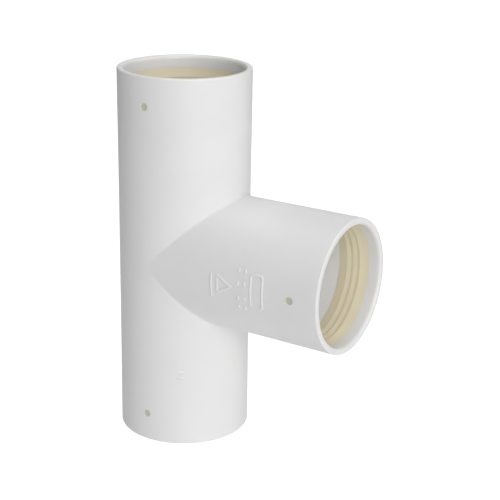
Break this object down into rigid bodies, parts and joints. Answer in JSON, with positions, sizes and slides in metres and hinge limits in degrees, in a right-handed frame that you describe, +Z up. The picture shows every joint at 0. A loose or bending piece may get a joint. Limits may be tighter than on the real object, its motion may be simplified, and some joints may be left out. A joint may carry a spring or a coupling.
{
  "type": "tee fitting",
  "caption": "Push-fit equal tee for plastic waste pipe: straight run with a socket at each end, side branch with a third socket, and a soft lip seal moulded into each socket.",
  "frame": {"origin": "the point where the run's and the branch's centre lines cross", "axes": "+Z up along the run towards the top socket, +X along the branch towards its mouth, -Y towards the side with the seal dots and the raised marks"},
  "size_m": [0.0703, 0.0361, 0.1018],
  "materials": {
    "white_plastic": "satin moulded white plastic",
    "cream_seal": "soft cream elastomer, slightly glossy"
  },
  "bodies": {
    "root": {"tee_body": "white_plastic", "seal_top": "cream_seal", "seal_bottom": "cream_seal", "seal_branch": "cream_seal"}
  },
  "joints": []
}
